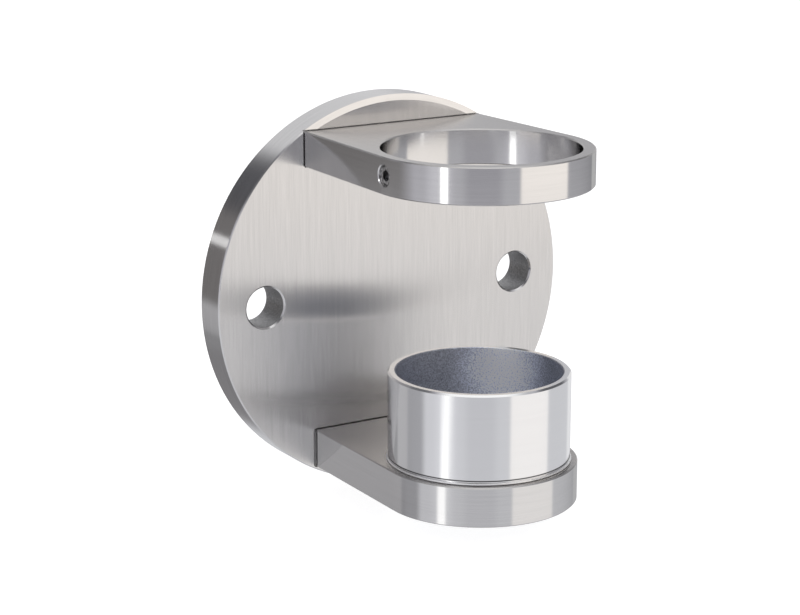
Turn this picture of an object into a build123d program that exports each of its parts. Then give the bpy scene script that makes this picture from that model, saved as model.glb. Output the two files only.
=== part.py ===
"""Fascia-mounted rail bracket: a round wall plate with two arms that hold the foot of a rail post.

The post drops through the ring of the upper arm, over the spigot, and stands on the lower arm.
Origin: centre of the plate's back face, which lies on the fascia. +Z is up along the post,
the wall is at +Y and the arms reach towards -Y. Sizes are in millimetres.
"""
import os
from math import sqrt

from build123d import *

os.makedirs("parts", exist_ok=True)

# Post that the bracket holds
post_diameter = 48.3
post_wall = 1.5

# Base plate
plate_diameter = 101.5
plate_thickness = 9.5
anchor_spacing = 75.0
anchor_hole_diameter = 10.5
anchor_hole_break = 0.4
rim_break = 0.3

# Shallow dressing ground along the top of the plate's face, between the upper arm's root corners
dressing_width = 1.6
dressing_depth = 0.35

# Pockets that the arms are let into, with an open joint round each root
pocket_depth = 1.0
pocket_gap = 0.25
upper_side_gap = 0.3
lower_side_gap = 0.6
pocket_corner = 0.9

# Places of the arms: each is set in from the plate's top or bottom, the post stands off its face
upper_arm_drop = 7.15
lower_arm_rise = 6.6
lower_corner_inset = 0.7
post_reach = 40.2

# Arms
upper_arm_thickness = 9.0
lower_arm_thickness = 10.0
post_clearance = 0.15
ring_wall = 3.1
ledge_overhang = 0.25
edge_break = 0.3

# Tenons that carry the arms in slots of the plate, welded from the back and ground flush
upper_tenon_width = 34.0
lower_tenon_width = 30.0
tenon_shoulder = 2.0
tenon_corner = 0.6
tenon_clearance = 0.1
weld_size = 1.5

# Spigot that the post fits over
spigot_height = 22.3
spigot_wall = 1.9
spigot_clearance = 0.1
spigot_seat_clearance = 0.05
lip_break = 0.45
lip_inner_break = 0.2
bead_size = 0.35
bead_undercut = 0.2
groove_height = 0.25
groove_depth = 0.15
spigot_weld_size = 1.0

# Set screw in the side of the ring
screw_diameter = 5.0
screw_clearance = 0.05
screw_countersink = 0.3
screw_recess = 0.7
screw_tip_setback = 0.1
screw_end_break = 0.5
socket_width = 2.5
socket_depth = 1.4
cup_radius = 1.2
cup_depth = 0.4

# Radii and places that follow from the sizes above
plate_radius = plate_diameter / 2
front_y = -plate_thickness
pocket_floor_y = front_y + pocket_depth
tenon_length = plate_thickness - pocket_depth
post_y = front_y - post_reach
post_axis = Axis((0, post_y, 0), (0, 0, 1))
post_plane = Plane.XZ.offset(-post_y)

bore_radius = post_diameter / 2 + post_clearance
ring_radius = bore_radius + ring_wall
lower_end_radius = post_diameter / 2 + ledge_overhang

spigot_radius = post_diameter / 2 - post_wall - spigot_clearance
spigot_inner_radius = spigot_radius - spigot_wall
groove_radius = spigot_radius - groove_depth
seat_radius = spigot_radius + spigot_seat_clearance

upper_arm_top = plate_radius - upper_arm_drop
upper_arm_middle = upper_arm_top - upper_arm_thickness / 2
lower_arm_bottom = lower_arm_rise - plate_radius
lower_arm_top = lower_arm_bottom + lower_arm_thickness
lower_arm_middle = lower_arm_bottom + lower_arm_thickness / 2
spigot_top = lower_arm_top + spigot_height

# The arms' outer root corners meet the plate's rim
upper_root_half = sqrt(plate_radius**2 - upper_arm_top**2)
lower_root_half = sqrt((plate_radius - lower_corner_inset) ** 2 - lower_arm_bottom**2)
upper_pocket_half = upper_root_half + upper_side_gap
lower_pocket_half = lower_root_half + lower_side_gap

upper_tenon_height = upper_arm_thickness - 2 * tenon_shoulder
lower_tenon_height = lower_arm_thickness - 2 * tenon_shoulder
slot_corner = tenon_corner + tenon_clearance
slot_growth = 2 * tenon_clearance
weld_growth = slot_growth + 2 * weld_size
weld_corner = slot_corner + weld_size

screw_plane = Plane(origin=(-ring_radius, post_y, upper_arm_middle), z_dir=(-1, 0, 0))
screw_radius = screw_diameter / 2
screw_hole_radius = screw_radius + screw_clearance
screw_length = ring_wall - screw_recess - screw_tip_setback

# Base plate: a turned disc with two anchor holes on its level diameter and a slot for each tenon
with BuildPart() as base_plate:
    with BuildSketch(Plane.XZ):
        Circle(plate_radius)
    extrude(amount=plate_thickness)
    rims = base_plate.edges().filter_by(GeomType.CIRCLE)
    chamfer(rims, length=rim_break)

    # The dressing is a flat cone cut, as wide as the arm's root is from corner to corner
    corner_angle = Vector(0, 1).get_angle(Vector(upper_root_half, upper_arm_top))
    with BuildSketch(Plane.YZ.rotated((0, -corner_angle, 0))):
        with BuildLine():
            Polyline(
                (front_y, plate_radius - dressing_width),
                (front_y + dressing_depth, plate_radius),
                (front_y + dressing_depth, plate_radius + dressing_width),
                (front_y, plate_radius + dressing_width),
                close=True,
            )
        make_face()
    revolve(axis=Axis.Y, revolution_arc=2 * corner_angle, mode=Mode.SUBTRACT)

    with Locations(Plane.XZ.offset(plate_thickness)):
        with GridLocations(anchor_spacing, anchor_spacing, 2, 1):
            CounterSinkHole(
                radius=anchor_hole_diameter / 2,
                counter_sink_radius=anchor_hole_diameter / 2 + anchor_hole_break,
                counter_sink_angle=90,
            )

    # Each arm has a pocket in the face, a slot for its tenon and a bevel at the back for the weld
    for middle, thickness, pocket_half, tenon_width, tenon_height in (
        (upper_arm_middle, upper_arm_thickness, upper_pocket_half, upper_tenon_width, upper_tenon_height),
        (lower_arm_middle, lower_arm_thickness, lower_pocket_half, lower_tenon_width, lower_tenon_height),
    ):
        with BuildSketch(Plane.XZ.offset(plate_thickness)):
            with Locations((0, middle)):
                RectangleRounded(2 * pocket_half, thickness + 2 * pocket_gap, pocket_corner)
        extrude(amount=-pocket_depth, mode=Mode.SUBTRACT)
        with BuildSketch(Plane.XZ):
            with Locations((0, middle)):
                RectangleRounded(tenon_width + slot_growth, tenon_height + slot_growth, slot_corner)
        extrude(amount=tenon_length, mode=Mode.SUBTRACT)
        with BuildSketch(Plane.XZ):
            with Locations((0, middle)):
                RectangleRounded(tenon_width + weld_growth, tenon_height + weld_growth, weld_corner)
        extrude(amount=weld_size, taper=45, mode=Mode.SUBTRACT)
base_plate.part.label = "base_plate"
export_step(base_plate.part, "parts/base_plate.step")

# Upper arm: straight sides run from the root corners into a thin ring that the post passes through
with BuildPart() as upper_arm:
    with BuildSketch(Plane.XY.offset(upper_arm_top)):
        with BuildLine():
            Line((-upper_root_half, pocket_floor_y), (upper_root_half, pocket_floor_y))
            CenterArc((0, post_y), ring_radius, 0, 360)
        make_hull()
        with Locations((0, post_y)):
            Circle(bore_radius, mode=Mode.SUBTRACT)
    extrude(amount=-upper_arm_thickness)
    outlines = upper_arm.faces().filter_by(Axis.Z).edges()
    root_corners = upper_arm.edges().filter_by(Axis.Z).sort_by(Axis.Y)[-2:]
    chamfer(outlines + root_corners, length=edge_break)

    with BuildSketch(Plane.XZ):
        with Locations((0, upper_arm_middle)):
            RectangleRounded(upper_tenon_width, upper_tenon_height, tenon_corner)
    extrude(amount=tenon_length)

    with Locations(screw_plane):
        CounterSinkHole(
            radius=screw_hole_radius,
            counter_sink_radius=screw_hole_radius + screw_countersink,
            depth=2 * ring_wall,
            counter_sink_angle=90,
        )
upper_arm.part.label = "upper_arm"
export_step(upper_arm.part, "parts/upper_arm.step")

# Lower arm: the same form, with its end as wide as the post and a bore that seats the spigot
with BuildPart() as lower_arm:
    with BuildSketch(Plane.XY.offset(lower_arm_bottom)):
        with BuildLine():
            Line((-lower_root_half, pocket_floor_y), (lower_root_half, pocket_floor_y))
            CenterArc((0, post_y), lower_end_radius, 0, 360)
        make_hull()
    extrude(amount=lower_arm_thickness)
    outlines = lower_arm.faces().filter_by(Axis.Z).edges()
    root_corners = lower_arm.edges().filter_by(Axis.Z).sort_by(Axis.Y)[-2:]
    chamfer(outlines + root_corners, length=edge_break)

    with Locations(Plane.XY.offset(lower_arm_top)):
        with Locations((0, post_y)):
            Hole(seat_radius)
    seat_mouth = lower_arm.edges().filter_by(GeomType.CIRCLE).group_by(Axis.Z)[0]
    chamfer(seat_mouth.sort_by(SortBy.RADIUS)[:1], length=spigot_weld_size)

    with BuildSketch(Plane.XZ):
        with Locations((0, lower_arm_middle)):
            RectangleRounded(lower_tenon_width, lower_tenon_height, tenon_corner)
    extrude(amount=tenon_length)
lower_arm.part.label = "lower_arm"
export_step(lower_arm.part, "parts/lower_arm.step")

# Tenon welds: each fills the bevelled mouth of its slot and is ground flush with the plate's back
with BuildPart() as upper_tenon_weld:
    with BuildSketch(Plane.XZ):
        with Locations((0, upper_arm_middle)):
            RectangleRounded(
                upper_tenon_width + weld_growth, upper_tenon_height + weld_growth, weld_corner
            )
    extrude(amount=weld_size, taper=45)
    with BuildSketch(Plane.XZ):
        with Locations((0, upper_arm_middle)):
            RectangleRounded(upper_tenon_width, upper_tenon_height, tenon_corner)
    extrude(amount=weld_size, mode=Mode.SUBTRACT)
upper_tenon_weld.part.label = "upper_tenon_weld"
export_step(upper_tenon_weld.part, "parts/upper_tenon_weld.step")

with BuildPart() as lower_tenon_weld:
    with BuildSketch(Plane.XZ):
        with Locations((0, lower_arm_middle)):
            RectangleRounded(
                lower_tenon_width + weld_growth, lower_tenon_height + weld_growth, weld_corner
            )
    extrude(amount=weld_size, taper=45)
    with BuildSketch(Plane.XZ):
        with Locations((0, lower_arm_middle)):
            RectangleRounded(lower_tenon_width, lower_tenon_height, tenon_corner)
    extrude(amount=weld_size, mode=Mode.SUBTRACT)
lower_tenon_weld.part.label = "lower_tenon_weld"
export_step(lower_tenon_weld.part, "parts/lower_tenon_weld.step")

# Spigot: a turned tube with a bevelled lip, and a groove over an undercut bead that the post stands on
with BuildPart() as spigot:
    bead_bottom = lower_arm_top + bead_undercut
    bead_top = bead_bottom + bead_size
    groove_top = bead_top + groove_height
    with BuildSketch(post_plane):
        with BuildLine():
            Polyline(
                (spigot_radius, bead_top),
                (groove_radius, bead_top),
                (spigot_radius, groove_top),
                (spigot_radius, spigot_top - lip_break),
                (spigot_radius - lip_break, spigot_top),
                (spigot_inner_radius + lip_inner_break, spigot_top),
                (spigot_inner_radius, spigot_top - lip_inner_break),
                (spigot_inner_radius, lower_arm_bottom),
                (spigot_radius, lower_arm_bottom),
                (spigot_radius, lower_arm_top),
                (spigot_radius + bead_size, bead_bottom),
            )
            CenterArc((spigot_radius, bead_bottom), bead_size, 0, 90)
        make_face()
    revolve(axis=post_axis)
spigot.part.label = "spigot"
export_step(spigot.part, "parts/spigot.step")

# Spigot weld: a ring in the bevelled mouth of the seat, ground flush with the arm's underside
with BuildPart() as spigot_weld:
    with BuildSketch(post_plane):
        with BuildLine():
            Polyline(
                (spigot_radius, lower_arm_bottom),
                (seat_radius + spigot_weld_size, lower_arm_bottom),
                (seat_radius, lower_arm_bottom + spigot_weld_size),
                (spigot_radius, lower_arm_bottom + spigot_weld_size),
                close=True,
            )
        make_face()
    revolve(axis=post_axis)
spigot_weld.part.label = "spigot_weld"
export_step(spigot_weld.part, "parts/spigot_weld.step")

# Set screw: a short cup-point grub screw with a hexagon socket, backed off clear of the bore
with BuildPart() as set_screw:
    with BuildSketch(screw_plane.offset(-screw_recess)):
        Circle(screw_radius)
    extrude(amount=-screw_length)
    chamfer(set_screw.edges().filter_by(GeomType.CIRCLE), length=screw_end_break)
    with BuildSketch(screw_plane.offset(-screw_recess)):
        RegularPolygon(radius=socket_width / 2, side_count=6, major_radius=False)
    extrude(amount=-socket_depth, mode=Mode.SUBTRACT)
    with Locations(screw_plane.offset(-screw_recess - screw_length)):
        Cone(
            bottom_radius=cup_radius,
            top_radius=0,
            height=cup_depth,
            align=(Align.CENTER, Align.CENTER, Align.MIN),
            mode=Mode.SUBTRACT,
        )
set_screw.part.label = "set_screw"
export_step(set_screw.part, "parts/set_screw.step")
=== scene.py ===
import math
from typing import NamedTuple

import bpy
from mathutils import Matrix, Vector


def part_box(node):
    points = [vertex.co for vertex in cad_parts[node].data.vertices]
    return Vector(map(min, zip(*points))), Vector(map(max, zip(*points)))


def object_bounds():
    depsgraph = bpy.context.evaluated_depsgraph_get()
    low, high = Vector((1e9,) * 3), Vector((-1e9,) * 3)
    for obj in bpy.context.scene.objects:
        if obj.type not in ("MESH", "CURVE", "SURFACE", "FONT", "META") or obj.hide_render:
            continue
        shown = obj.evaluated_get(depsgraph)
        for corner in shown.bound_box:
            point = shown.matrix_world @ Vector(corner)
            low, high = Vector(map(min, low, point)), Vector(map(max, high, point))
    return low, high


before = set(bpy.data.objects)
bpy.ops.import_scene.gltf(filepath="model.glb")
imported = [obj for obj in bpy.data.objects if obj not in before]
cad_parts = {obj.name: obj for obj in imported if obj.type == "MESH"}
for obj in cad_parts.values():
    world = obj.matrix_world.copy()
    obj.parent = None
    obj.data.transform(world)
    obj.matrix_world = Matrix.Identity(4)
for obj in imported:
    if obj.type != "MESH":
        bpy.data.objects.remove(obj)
cad_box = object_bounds()

# Sizes of the bracket in millimetres, read from the frame where a node gives them
MM = 0.001
spigot_box = [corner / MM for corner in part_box("spigot")]
post_y = (spigot_box[0].y + spigot_box[1].y) / 2
spigot_top = spigot_box[1].z
spigot_height = 22.3
foot_level = spigot_top - spigot_height
bead_height = 0.5
# Height over the foot and half width of a painted dark line that stands in for the shade in the foot's
# groove
painted_groove_shade_height = 1.05
painted_groove_shade_half_width = 0.12
plate_box = [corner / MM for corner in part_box("base_plate")]
plate_front = plate_box[0].y
rim_radius = plate_box[1].x
anchor_spacing = 75.0
anchor_hole_radius = 5.25
pocket_depth = 1.0
bore_radius = 24.3
spigot_bore_radius = 20.65
screw_centre = sum((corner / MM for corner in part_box("set_screw")), Vector()) / 2
screw_socket_radius = 1.2

# Half the width of the plate's middle, which holds both pockets and neither of the anchor holes
middle_half_width = 30.0

# Painted light inside the spigot: its lightest painted place, on its right at the back, and how the
# painted light fades to painted shade away from there
painted_light_place = (16.0, post_y + 13.0, spigot_top - 5.0)
painted_light_reach = (2.0, 16.0)
painted_light_gain = (1.9, 0.68)

# Camera, from the fit of the bracket's sizes to the photograph
camera_azimuth = -31.63
camera_elevation = 14.42
camera_distance = 548.8
camera_target = Vector((-10.4, -29.5, 0.8))
sensor_width = 36.0
lens_length = 99.3

# Floor, with its half width in metres; the glow keeps it as white as the photograph's ground
floor_half_width = 4.0
floor_grey = 0.5
floor_roughness = 0.9
floor_glow = 0.82


class Graph:
    """Adds nodes to a tree. Inputs may be sockets of other nodes or plain values."""

    def __init__(self, tree):
        self.tree = tree

    def add(self, kind, inputs=(), **settings):
        node = self.tree.nodes.new(kind)
        for name, value in settings.items():
            setattr(node, name, value)
        for key, value in dict(inputs).items():
            if isinstance(value, bpy.types.NodeSocket):
                self.tree.links.new(value, node.inputs[key])
            else:
                node.inputs[key].default_value = value
        return node

    def math(self, operation, *values):
        return self.add("ShaderNodeMath", dict(enumerate(values)), operation=operation).outputs[0]

    def vector_math(self, operation, *values, output=0):
        node = self.add("ShaderNodeVectorMath", dict(enumerate(values)), operation=operation)
        return node.outputs[output]

    def scale(self, vector, factor):
        node = self.add("ShaderNodeVectorMath", {"Vector": vector, "Scale": factor}, operation="SCALE")
        return node.outputs[0]

    def step(self, value, low, high, to_low=0.0, to_high=1.0):
        """A smooth step from to_low at low to to_high at high."""
        inputs = {"Value": value, "From Min": low, "From Max": high, "To Min": to_low, "To Max": to_high}
        return self.add("ShaderNodeMapRange", inputs, interpolation_type="SMOOTHSTEP").outputs[0]

    def under(self, value, limit, soft=0.1):
        """1 where value is under limit and 0 where it is past it by soft or more."""
        return self.step(value, limit, limit + soft, 1.0, 0.0)

    def blend(self, factor, a, b):
        """A number between a and b."""
        return self.add("ShaderNodeMix", {0: factor, 2: a, 3: b}, data_type="FLOAT").outputs[0]

    def blend_colour(self, factor, a, b, blend_type="MIX"):
        node = self.add("ShaderNodeMix", {0: factor, 6: a, 7: b}, data_type="RGBA", blend_type=blend_type)
        return node.outputs[2]

    def noise(self, vector, detail=3.0, roughness=0.55):
        inputs = {"Vector": vector, "Scale": 1.0, "Detail": detail, "Roughness": roughness}
        return self.add("ShaderNodeTexNoise", inputs).outputs["Fac"]


def colour(red, green, blue):
    return (red, green, blue, 1.0)


def grey(value):
    return (value, value, value, 1.0)


# Studio: a pale floor, a camera and a soft dome with softboxes in it


class Card(NamedTuple):
    """A softbox or a dark card on the dome, in degrees.

    Azimuth 0 is in front of the bracket and 90 at its right. Soft edges are half inside the card's size.
    """

    azimuth: float
    elevation: float
    width: float
    height: float
    tint: tuple
    side_soft: float = 4.0
    end_soft: float = 4.0


ROOM = colour(0.49, 0.49, 0.52)
CEILING = grey(1.1)
CEILING_EDGE = (52, 66)
ROOM_CARDS = {
    "left wall": Card(-98, 0, 84, 120, colour(0.51, 0.505, 0.545), 12, 8),
    "left wall by the strip": Card(-76, 0, 24, 120, colour(0.69, 0.685, 0.735), 14, 8),
    "wall in front": Card(-31, 0, 36, 120, colour(0.36, 0.355, 0.39), 12, 8),
    "dark card behind left": Card(-150, 0, 74, 56, colour(0.205, 0.195, 0.195), 24),
    "darkest corner": Card(-162, 25, 22, 20, colour(0.085, 0.085, 0.095), 6),
    "upper left card": Card(-125, 46, 60, 20, colour(0.16, 0.16, 0.17), 8, 8),
    "strip light": Card(-70.5, 16, 7.5, 59, grey(2.5), 1.6),
    "dark card in front": Card(-42, 42, 36, 22, colour(0.15, 0.15, 0.16), 8, 8),
    "warm softbox": Card(34, 0, 56, 80, colour(1.24, 1.175, 1.11), 4),
    "right wall": Card(88, 0, 46, 60, colour(0.44, 0.44, 0.465), 4),
    "right upper card": Card(88, 34, 44, 26, colour(0.12, 0.12, 0.13), 8, 8),
    "right edge light": Card(121, 0, 18, 60, grey(0.85), 4),
    "back softbox": Card(167, 8, 43, 60, colour(0.76, 0.76, 0.775), 8),
    "wall beside the back softbox": Card(138, 10, 18, 60, colour(0.56, 0.56, 0.58), 4),
    "small lamp behind": Card(-151, 7, 3, 3, grey(2.6), 1.2, 1.2),
}
TABLE_MIRROR = 0.42
TABLE_LIGHT = colour(0.47, 0.475, 0.49)
TABLE_EDGE = (-14.5, -10.3)
TABLE_CARDS = {
    "table at the left": Card(-122, -22, 30, 18, colour(0.39, 0.39, 0.41), 10),
    "dark table behind left": Card(-160, -34, 64, 27, colour(0.255, 0.25, 0.26), 10, 3),
    "table behind left": Card(-155, -17, 40, 7, colour(0.50, 0.495, 0.51), 8, 2),
    "dark end of that table": Card(-163, -18, 12, 12, colour(0.32, 0.32, 0.33), 4),
    "strip light on the table": Card(-72, -15.4, 11, 4.2, grey(1.07), 9, 2),
    "strip light on the near table": Card(-77, -24.5, 10, 14, grey(1.5), 5, 2),
}


def hang(graph, direction, base, card):
    """Mixes an evenly lit rectangle with soft edges over the dome."""
    inputs = {"Vector": direction, "Angle": -math.radians(card.azimuth)}
    turned = graph.add("ShaderNodeVectorRotate", inputs, rotation_type="Z_AXIS").outputs[0]
    parts = graph.add("ShaderNodeSeparateXYZ", {0: turned})
    across = graph.math("ARCTAN2", parts.outputs[0], graph.math("MULTIPLY", parts.outputs[1], -1.0))
    up = graph.math("SUBTRACT", graph.math("ARCSINE", parts.outputs[2]), math.radians(card.elevation))
    inside = 1.0
    for angle, size, soft in ((across, card.width, card.side_soft), (up, card.height, card.end_soft)):
        away = graph.math("ABSOLUTE", angle)
        within = graph.under(away, math.radians(size - soft) / 2, math.radians(soft))
        inside = graph.math("MULTIPLY", inside, within)
    return graph.blend_colour(inside, base, card.tint)


def make_dome():
    """A grey room with softboxes and dark cards, and a pale table that mirrors them dimly."""
    world = bpy.data.worlds.new("studio_dome")
    world.use_nodes = True
    world.node_tree.nodes.clear()
    graph = Graph(world.node_tree)
    direction = graph.add("ShaderNodeTexCoord").outputs["Generated"]
    up = graph.add("ShaderNodeSeparateXYZ", {0: direction}).outputs[2]
    elevation = graph.math("DEGREES", graph.math("ARCSINE", up))
    room = graph.blend_colour(graph.step(elevation, *CEILING_EDGE), ROOM, CEILING)
    for card in ROOM_CARDS.values():
        room = hang(graph, direction, room, card)
    mirrored = graph.blend_colour(1.0, room, grey(TABLE_MIRROR), "MULTIPLY")
    table = graph.blend_colour(1.0, mirrored, TABLE_LIGHT, "ADD")
    on_table = graph.step(elevation, *TABLE_EDGE, 1.0, 0.0)
    base = graph.blend_colour(on_table, room, table)
    for card in TABLE_CARDS.values():
        base = hang(graph, direction, base, card)
    is_camera = graph.add("ShaderNodeLightPath").outputs["Is Camera Ray"]
    seen = graph.blend_colour(is_camera, base, grey(1.0))
    background = graph.add("ShaderNodeBackground", {"Color": seen, "Strength": 1.0})
    graph.add("ShaderNodeOutputWorld", {"Surface": background.outputs[0]})
    bpy.context.scene.world = world


def make_floor():
    """A pale floor that the metal doesn't mirror, so that it leaves the look of the dome alone."""
    half = floor_half_width
    level = cad_box[0].z
    mesh = bpy.data.meshes.new("floor")
    corners = [(-half, -half, level), (half, -half, level), (half, half, level), (-half, half, level)]
    mesh.from_pydata(corners, [], [(0, 1, 2, 3)])
    floor = bpy.data.objects.new("floor", mesh)
    bpy.context.collection.objects.link(floor)
    material = bpy.data.materials.new("floor_white")
    material.use_nodes = True
    shader = material.node_tree.nodes["Principled BSDF"]
    shader.inputs["Base Color"].default_value = grey(floor_grey)
    shader.inputs["Roughness"].default_value = floor_roughness
    shader.inputs["Emission Color"].default_value = grey(1.0)
    shader.inputs["Emission Strength"].default_value = floor_glow
    mesh.materials.append(material)
    floor.visible_glossy = False
    floor.visible_shadow = False


def make_camera():
    data = bpy.data.cameras.new("camera")
    data.sensor_width = sensor_width
    data.lens = lens_length
    data.clip_start = 0.01
    data.clip_end = 50.0
    camera = bpy.data.objects.new("camera", data)
    bpy.context.collection.objects.link(camera)
    azimuth = math.radians(camera_azimuth)
    elevation = math.radians(camera_elevation)
    back = Vector((
        math.sin(azimuth) * math.cos(elevation),
        -math.cos(azimuth) * math.cos(elevation),
        math.sin(elevation),
    ))
    camera.location = (camera_target + back * camera_distance) * MM
    camera.rotation_mode = "QUATERNION"
    camera.rotation_quaternion = (-back).to_track_quat("-Z", "Y")
    bpy.context.scene.camera = camera


# Steel finishes

# Brushed streaks: how much wider the coarse ones are, their share, and what they change in roughness
COARSER = 4
COARSE_SHARE = 0.35
SHINE_CHANGE = 0.08


class Steel(Graph):
    """A steel material: its tree, and the position and normal that its zones are told apart by."""

    def __init__(self, name):
        self.material = bpy.data.materials.new(name)
        self.material.use_nodes = True
        super().__init__(self.material.node_tree)
        self.tree.nodes.clear()
        position = self.add("ShaderNodeTexCoord").outputs["Object"]
        self.place = self.scale(position, 1 / MM)
        parts = self.add("ShaderNodeSeparateXYZ", {0: self.place})
        self.x, self.y, self.z = parts.outputs
        normal = self.add("ShaderNodeNewGeometry").outputs["True Normal"]
        parts = self.add("ShaderNodeSeparateXYZ", {0: normal})
        self.normal_x, self.normal_y, self.normal_z = parts.outputs

    def facing(self, normal):
        """1 on surfaces that face along the normal's axis and 0 on the walls between them."""
        return self.step(self.math("ABSOLUTE", normal), 0.4, 0.6)

    def grain(self, waves):
        """Streaks, with so many waves per millimetre on each axis."""
        return self.noise(self.vector_math("MULTIPLY", self.place, waves), roughness=0.6)

    def mottle(self, waves, detail=2.0):
        """Blotches, with so many waves per millimetre."""
        return self.noise(self.scale(self.place, waves), detail)

    def grey_of(self, value):
        return self.add("ShaderNodeCombineColor", {0: value, 1: value, 2: value}).outputs[0]

    def radius_from(self, u, v, u0=0.0, v0=0.0):
        du = self.math("SUBTRACT", u, u0)
        dv = self.math("SUBTRACT", v, v0)
        squares = self.math("ADD", self.math("MULTIPLY", du, du), self.math("MULTIPLY", dv, dv))
        return self.math("SQRT", squares)

    def shader(self, tint, roughness, anisotropy=0.0, tangent=None, height=None, depth=0.0, edge=1.0):
        """Steel. depth is how far height lifts it, in millimetres. edge dims it at a glancing angle."""
        inputs = {"Base Color": tint, "Roughness": roughness}
        if tangent is not None:
            inputs["Tangent"] = self.add("ShaderNodeCombineXYZ", dict(enumerate(tangent))).outputs[0]
        if height is not None:
            bump = {"Height": height, "Strength": 1.0, "Distance": depth * MM}
            inputs["Normal"] = self.add("ShaderNodeBump", bump).outputs[0]
        node = self.add("ShaderNodeBsdfPrincipled", inputs)
        node.inputs["Metallic"].default_value = 1.0
        node.inputs["Anisotropic"].default_value = anisotropy
        node.inputs["Specular Tint"].default_value = grey(edge)
        return node.outputs[0]

    def brushed(
        self, tint, waves, tangent, roughness, anisotropy=1.0, contrast=0.12, depth=0.0003, edge=1.0
    ):
        """Fine and coarse streaks along the axes where waves is small, and shine spread along tangent."""
        fine = self.grain(waves)
        coarse = self.grain([wave / COARSER for wave in waves])
        streaks = self.blend(COARSE_SHARE, fine, coarse)
        dark = colour(*(part * (1 - contrast) for part in tint[:3]))
        light = colour(*(part * (1 + contrast) for part in tint[:3]))
        mixed = self.blend_colour(streaks, dark, light)
        shine = self.blend(streaks, roughness * (1 - SHINE_CHANGE), roughness * (1 + SHINE_CHANGE))
        return self.shader(mixed, shine, anisotropy, tangent, fine, depth, edge)

    def mix_shaders(self, factor, a, b):
        return self.add("ShaderNodeMixShader", {0: factor, 1: a, 2: b}).outputs[0]

    def finish(self, shader):
        self.add("ShaderNodeOutputMaterial", {"Surface": shader})
        return self.material


GROUND_STEEL = colour(0.69, 0.684, 0.682)
POLISHED_STEEL = colour(0.85, 0.85, 0.855)
TOP_STEEL = colour(0.585, 0.573, 0.566)
ALONG_X = (1, 0, 0)
ALONG_Y = (0, 1, 0)
ALONG_Z = (0, 0, 1)


def plate_steel():
    """The face is brushed from top to bottom, the rim polished, the pockets milled and painted lighter
    against the shade in their seams, the holes drilled.
    """
    steel = Steel("plate_brushed")
    flat = steel.facing(steel.normal_y)
    brushed = steel.brushed(GROUND_STEEL, (3.4, 0.1, 0.08), ALONG_X, 0.26, contrast=0.17)
    dressed = steel.brushed(GROUND_STEEL, (0.1, 3.0, 0.08), ALONG_Z, 0.17, anisotropy=0.5)
    tilt = steel.radius_from(steel.normal_x, steel.normal_z)
    face = steel.mix_shaders(steel.step(tilt, 0.1, 0.14), brushed, dressed)
    rim = steel.brushed(GROUND_STEEL, (0.08, 2.5, 0.08), ALONG_Y, 0.15, anisotropy=0.8, contrast=0.16)

    aside = steel.math("SUBTRACT", steel.math("ABSOLUTE", steel.x), anchor_spacing / 2)
    in_hole = steel.under(steel.radius_from(aside, steel.z), anchor_hole_radius + 0.1)
    pits = steel.mottle(2.8)
    dull = steel.blend_colour(steel.step(pits, 0.3, 0.7), grey(0.32), grey(0.56))
    drilled = steel.shader(dull, 0.5, height=pits, depth=0.05)

    in_middle = steel.under(steel.math("ABSOLUTE", steel.x), middle_half_width)
    inside_rim = steel.under(steel.radius_from(steel.x, steel.z), rim_radius - 0.5)
    # Painted light: the pockets' walls and floors are rough like milled steel and painted lighter to lift
    # the shade of the seams
    milled_painted_light = steel.shader(grey(0.9), 0.6)
    walls = steel.mix_shaders(in_hole, rim, drilled)
    walls = steel.mix_shaders(steel.math("MULTIPLY", in_middle, inside_rim), walls, milled_painted_light)
    pocket_middle = plate_front + pocket_depth / 2
    behind_face = steel.step(steel.y, pocket_middle, pocket_middle + 0.1)
    before_back = steel.under(steel.y, -0.2)
    face = steel.mix_shaders(steel.math("MULTIPLY", behind_face, before_back), face, milled_painted_light)
    return steel.finish(steel.mix_shaders(flat, walls, face))


def arm_steel():
    """Tops and sides are ground lengthwise, and the ring's bore keeps the marks of boring."""
    steel = Steel("arm_ground")
    flat = steel.facing(steel.normal_z)
    top = steel.brushed(TOP_STEEL, (3.0, 0.06, 0.06), ALONG_X, 0.26)
    side = steel.brushed(
        GROUND_STEEL, (0.06, 0.06, 3.0), ALONG_Z, 0.11, anisotropy=0.6, contrast=0.08, edge=0.6
    )
    marks = steel.grain((0.9, 0.9, 1.6))
    bored = steel.shader(GROUND_STEEL, 0.15, 0.8, ALONG_Z, height=marks, depth=0.006, edge=0.3)
    in_bore = steel.under(steel.radius_from(steel.x, steel.y, 0.0, post_y), bore_radius + 0.1)
    above_middle = steel.step(steel.z, 0.0, 1.0)
    walls = steel.mix_shaders(steel.math("MULTIPLY", in_bore, above_middle), side, bored)
    return steel.finish(steel.mix_shaders(flat, walls, top))


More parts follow.
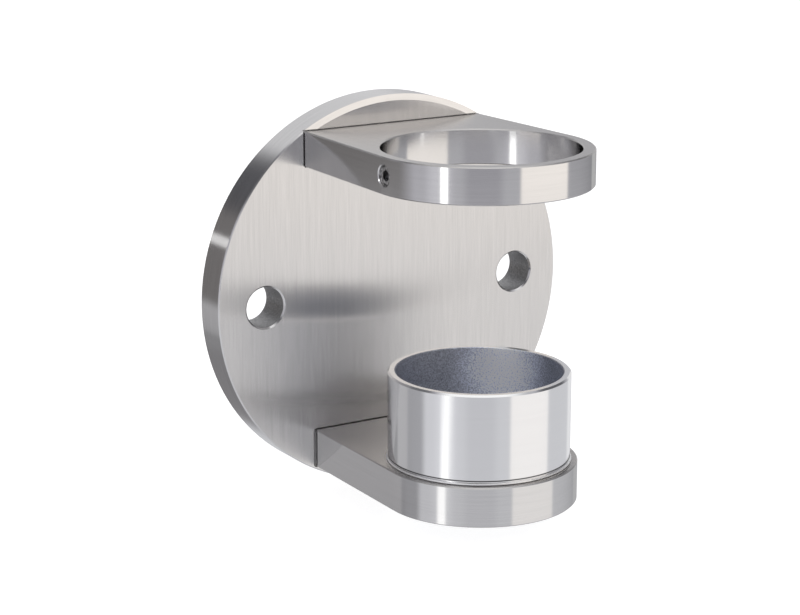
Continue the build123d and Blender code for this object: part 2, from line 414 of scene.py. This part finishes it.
def spigot_steel():
    """Polished outside, with a painted dark line of groove shade over a bead painted lighter as a
    highlight, and blasted inside with painted light and shade.
    """
    steel = Steel("spigot_polished")
    radius = steel.radius_from(steel.x, steel.y, 0.0, post_y)
    outside = steel.step(radius, spigot_bore_radius + 0.1, spigot_bore_radius + 0.3)
    polished = steel.brushed(
        POLISHED_STEEL, (0.05, 0.05, 2.0), ALONG_Z, 0.14, anisotropy=0.5, contrast=0.03, depth=0.0001
    )
    above_foot = steel.math("SUBTRACT", steel.z, foot_level)
    # Painted shade: a dark line standing in for the shade in the foot's turned groove
    from_painted_groove_shade = steel.math("ABSOLUTE", steel.math("SUBTRACT", above_foot, painted_groove_shade_height))
    on_painted_groove_shade = steel.under(from_painted_groove_shade, painted_groove_shade_half_width, 0.08)
    polished = steel.mix_shaders(on_painted_groove_shade, polished, steel.shader(grey(0.12), 0.4))
    # Painted highlight: the bead is rougher than the polished steel and painted lighter as a light line
    on_bead = steel.under(above_foot, bead_height, 0.06)
    polished = steel.mix_shaders(on_bead, polished, steel.shader(grey(0.95), 0.5))

    pits = steel.mottle(2.9)
    speckle = steel.step(pits, 0.25, 0.75)
    tint = steel.blend_colour(speckle, colour(0.37, 0.385, 0.44), colour(0.80, 0.84, 0.95))
    # Painted light and shade: the blasted tint is brightened near its lightest place and darkened further
    # off
    from_painted_light_place = steel.vector_math("DISTANCE", steel.place, painted_light_place, output=1)
    painted_lighting = steel.step(from_painted_light_place, *painted_light_reach, *painted_light_gain)
    tint = steel.blend_colour(1.0, tint, steel.grey_of(painted_lighting), "MULTIPLY")
    blasted = steel.shader(tint, 0.5, height=pits, depth=0.05)
    return steel.finish(steel.mix_shaders(outside, blasted, polished))


def weld_steel():
    """Ground welds, with a faint ripple."""
    steel = Steel("weld_ground")
    ripple = steel.mottle(1.2, detail=3.0)
    tint = steel.blend_colour(ripple, colour(0.55, 0.53, 0.51), GROUND_STEEL)
    return steel.finish(steel.shader(tint, 0.35, height=ripple, depth=0.1))


def screw_steel():
    """Bright and mottled, with painted shade in its socket."""
    steel = Steel("screw_bright")
    marks = steel.mottle(1.5, detail=3.0)
    bright = steel.blend_colour(steel.step(marks, 0.35, 0.65), grey(0.32), POLISHED_STEEL)
    from_axis = steel.radius_from(steel.y, steel.z, screw_centre.y, screw_centre.z)
    # Painted shade: the socket is painted dark where it is shaded
    in_socket_painted_shade = steel.under(from_axis, screw_socket_radius, 0.2)
    return steel.finish(steel.shader(steel.blend_colour(in_socket_painted_shade, bright, grey(0.22)), 0.12))


def dress(material, *nodes):
    for node in nodes:
        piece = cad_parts[node]
        for slot in piece.material_slots:
            slot.material = material


make_camera()
make_dome()
make_floor()
dress(plate_steel(), "base_plate")
dress(arm_steel(), "upper_arm", "lower_arm")
dress(spigot_steel(), "spigot")
dress(weld_steel(), "upper_tenon_weld", "lower_tenon_weld", "spigot_weld")
dress(screw_steel(), "set_screw")
bpy.context.scene.view_settings.view_transform = "Standard"
